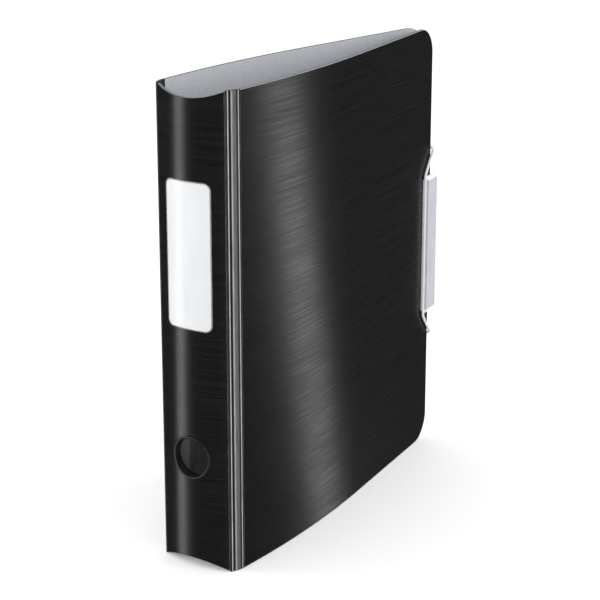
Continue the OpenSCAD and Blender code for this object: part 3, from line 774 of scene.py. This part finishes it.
def grip():
    """Raised grip: slanted ends, a shallow thumb hollow in its face and rounded edges."""
    x0, t, half, slant, y0, y1 = TAB_TOP, 2.5, 53.0, 2.0, -11.2, TAB_Y
    dent = 46  # half the length of the thumb hollow
    zs = [-half, -half + 0.02, -half + slant, -half + slant + 1.5] + list(np.linspace(-dent, dent, 17))
    zs += [half - slant - 1.5, half - slant, half - 0.02, half]
    rise = [1.0, 1.0, t, t] + [t] * 17 + [t, t, 1.0, 1.0]
    ys = list(np.linspace(y0, y1, 13))
    outer, inner = [], []
    for y in ys:
        v = (y - y0) / (y1 - y0)
        row = []
        for z, x in zip(zs, rise):
            fade = 0.5 + 0.5 * math.cos(math.pi * min(abs(z) / dent, 1))
            hollow = 0.35 * math.sin(math.pi * v)**1.5 * fade
            row.append(at_fore(x0 + x - (hollow if x == t else 0), y, z))
        outer.append(row)
        inner.append([at_fore(x0, y, z) for z in zs])
    return shell(outer, inner)


piece("tab_grip_moulding", *grip(), TAB, "closure", "tab_plastic", ["tab_grip"],
      bevel=0.35, angle=35, segments=3)

# ---- rings ----
def arc(x, y, r, a0, a1, n):
    """n points on an arc round (x, y), from angle a0 to a1 in degrees, counted from +Y towards +X."""
    angles = np.radians(np.linspace(a0, a1, n))
    return [(x + r * math.sin(a), y + r * math.cos(a), 0) for a in angles]


RING_X, LEG_Y, FAR_Y = 50, 9, 19  # the rings' height, and where the legs and the straight sides run
STUB_X, STUB_L, FLARE, BEND_R, TOP_R = 2.2, 6, 50, 5, 8  # FLARE is the legs' slope in degrees
WIRE_R = 1.88
FLARE_X = STUB_X + STUB_L
flare_sin, flare_cos = math.sin(math.radians(FLARE)), math.cos(math.radians(FLARE))
CURVE_R = (RING_X - FLARE_X - BEND_R * flare_sin) / (1 + flare_sin)
SPLIT_Y = CURVE_R * flare_cos - LEG_Y - BEND_R * (1 - flare_cos)
slope = (FAR_Y - LEG_Y - 2 * BEND_R * (1 - flare_cos)) / math.tan(math.radians(FLARE))
leg_x = FLARE_X + 2 * BEND_R * flare_sin + slope
curved = [
    (STUB_X, -LEG_Y, 0), *arc(FLARE_X, -LEG_Y - BEND_R, BEND_R, 0, FLARE, 9),
    *arc(RING_X - CURVE_R, SPLIT_Y, CURVE_R, 180 + FLARE, 90, 49)[1:]]
straight = [
    (STUB_X, LEG_Y, 0), *arc(FLARE_X, LEG_Y + BEND_R, BEND_R, 180, 180 - FLARE, 9),
    *arc(leg_x, FAR_Y - BEND_R, BEND_R, -FLARE, 0, 9), *arc(RING_X - TOP_R, FAR_Y - TOP_R, TOP_R, 0, 90, 17),
    (RING_X, SPLIT_Y + 0.1, 0)]
for name, route, body, node in (("rings_curved_side", curved, "curved_rings", "curved_ring_halves"),
                                ("rings_straight_side", straight, "straight_rings", "straight_ring_halves")):
    parts = [swept([at_rings(x, y, z + at) for x, y, z in route], WIRE_R, 24)[:2] for at in RING_ZS]
    piece(name, *join(parts), NICKEL, body, "nickel_steel", [node], angle=60)

# ---- the rest of the mechanism ----
def upright(z):
    """Places a profile (radius, height over the board) round an axis that stands on the back board at z."""
    return lambda a, p: at_rings(p[1], p[0] * math.cos(a), z + p[0] * math.sin(a))


head = [
    (0.01, -3.5), (2.6, -3.42), (4.2, -3.2), (5.1, -2.95), (5.45, -2.75), (5.5, -2.62), (1.8, -2.6),
    (1.8, 7.2), (3.35, 7.21), (3.4, 7.35), (3.1, 7.9), (2.6, 8.18), (2.1, 8.0), (1.7, 7.6), (0.01, 7.5)]
rivets = [lathe(head, upright(z), 40, closed=False) for z in RIVET_ZS]
piece("housing_rivet_set", *join(rivets), NICKEL, "back_cover", "nickel_steel", ["housing_rivets"], angle=30)
tube = [(1.85, 0.02), (3.0, 0.02), (3.2, 0.2), (3.2, 5.82), (3.0, 6.0), (1.85, 6.0)]
spacers = [lathe(tube, upright(z), 40) for z in RIVET_ZS]
piece("housing_spacer_set", *join(spacers), NYLON, "back_cover", "grey_nylon", ["housing_spacers"], angle=30)
pin = [(0.01, -8.8), (0.8, -8.8), (1.0, -8.6), (1.0, 8.6), (0.8, 8.8), (0.01, 8.8)]
PIN_X, PIN_Z = 3.4, -137
points, faces = lathe(pin, lambda a, p: at_rings(
    PIN_X + p[0] * math.cos(a), p[1], PIN_Z + p[0] * math.sin(a)), 24, closed=False)
piece("trigger_pin_bar", points, faces, NICKEL, "back_cover", "nickel_steel", ["trigger_pin"], angle=30)

for node, look, slot, bevel in (
        ("ring_housing", NICKEL, "nickel_steel", 0.0), ("spine_side_blade", ZINC, "zinc_steel", 0.0),
        ("fore_side_blade", ZINC, "zinc_steel", 0.0), ("trigger_lever", NICKEL, "nickel_steel", 0.15),
        ("trigger_pad", BLACK, "black_plastic", 0.6), ("cord_anchors", BLACK, "black_plastic", 0.15)):
    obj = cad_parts[node]
    obj.data.materials.clear()
    obj.data.materials.append(look.material)
    obj.data.shade_smooth()
    obj.data.set_sharp_from_angle(angle=math.radians(35))
    if bevel:
        weld = obj.modifiers.new("weld", "WELD")  # so that the bevel sees the CAD mesh's edges as shared
        weld.merge_threshold = 1e-6
        b = obj.modifiers.new("edges", "BEVEL")
        b.width, b.segments, b.limit_method, b.angle_limit = bevel * MM, 3, "ANGLE", math.radians(40)

# ---- floor, light and background ----
floor_mesh = bpy.data.meshes.new("floor")
FAR = 12  # metres from the object to each edge of the floor
floor_mesh.from_pydata([(-FAR, -FAR, 0), (FAR, -FAR, 0), (FAR, FAR, 0), (-FAR, FAR, 0)], [], [(0, 1, 2, 3)])
floor = bpy.data.objects.new("floor", floor_mesh)
bpy.context.scene.collection.objects.link(floor)
floor.location.z = -0.3 * MM  # clear of the case's lower edges
pale = Nodes("pale floor", (0.93, 0.93, 0.932), 0.8, Specular_IOR_Level=0.1,
             Emission_Color=(1.0, 1.0, 1.0), Emission_Strength=0.1)
floor_mesh.materials.append(pale.material)
floor.visible_glossy = floor.visible_shadow = False  # the highlight strips reach below it

world = bpy.data.worlds.new("studio")
bpy.context.scene.world = world
world.use_nodes = True
tree = world.node_tree
sky = tree.nodes["Background"]
sky.inputs["Color"].default_value = (1.0, 1.0, 1.0, 1)
sky.inputs["Strength"].default_value = 1.0
dark = tree.nodes.new("ShaderNodeBackground")  # what gloss sees round the lights, as with black flags
dark.inputs["Color"].default_value = (0.06, 0.06, 0.062, 1)
path = tree.nodes.new("ShaderNodeLightPath")
pick = tree.nodes.new("ShaderNodeMixShader")
tree.links.new(path.outputs["Is Glossy Ray"], pick.inputs[0])
tree.links.new(sky.outputs[0], pick.inputs[1])
tree.links.new(dark.outputs[0], pick.inputs[2])
tree.links.new(pick.outputs[0], tree.nodes["World Output"].inputs[0])


BOX_SPAN, STRIP_SPAN = (0.05, 1.3), (-1.1, 0.7)  # heights of the lights' lower and upper edges, in metres
LIGHT_AWAY = 2.0


def softbox(name, azimuth_deg, width, radiance, gloss=False, tilt=0):
    """An upright rectangle of light that faces the object.

    A gloss light is only a strip for highlights. It reaches below the floor, and is tilted by some
    degrees, which turns its foot to higher azimuths. Any other light acts only on matt surfaces."""
    a = math.radians(azimuth_deg)
    low, high = STRIP_SPAN if gloss else BOX_SPAN
    light = bpy.data.lights.new(name, "AREA")
    light.shape = "RECTANGLE"
    light.size, light.size_y = width, high - low
    light.energy = radiance * math.pi * width * (high - low)
    obj = bpy.data.objects.new(name, light)
    bpy.context.scene.collection.objects.link(obj)
    obj.location = (LIGHT_AWAY * math.sin(a), -LIGHT_AWAY * math.cos(a), (low + high) / 2)
    aim = Vector((0, 0, obj.location.z if gloss else CASE_H / 2 * MM)) - obj.location
    turn = aim.to_track_quat("-Z", "Y") @ Quaternion((0, 0, 1), math.radians(tilt))
    obj.rotation_euler = turn.to_euler()
    obj.visible_camera = False
    obj.visible_diffuse, obj.visible_glossy = not gloss, gloss


softbox("left light", -59, 0.5, 8)
softbox("front light", 28, 0.5, 6)
softbox("side light", 105, 0.6, 4)
softbox("rear light", 150, 0.3, 10)
softbox("left strip", -46, 0.4, 7, True, -20)
softbox("front strip", 30, 0.85, 2.3, True)
softbox("rear strip", 146.3, 0.22, 3.1, True, 24)

bpy.context.scene.view_settings.view_transform = "Standard"
bpy.context.scene.view_settings.look = "None"

# ---- the scene's last update ----
bpy.context.view_layer.update()
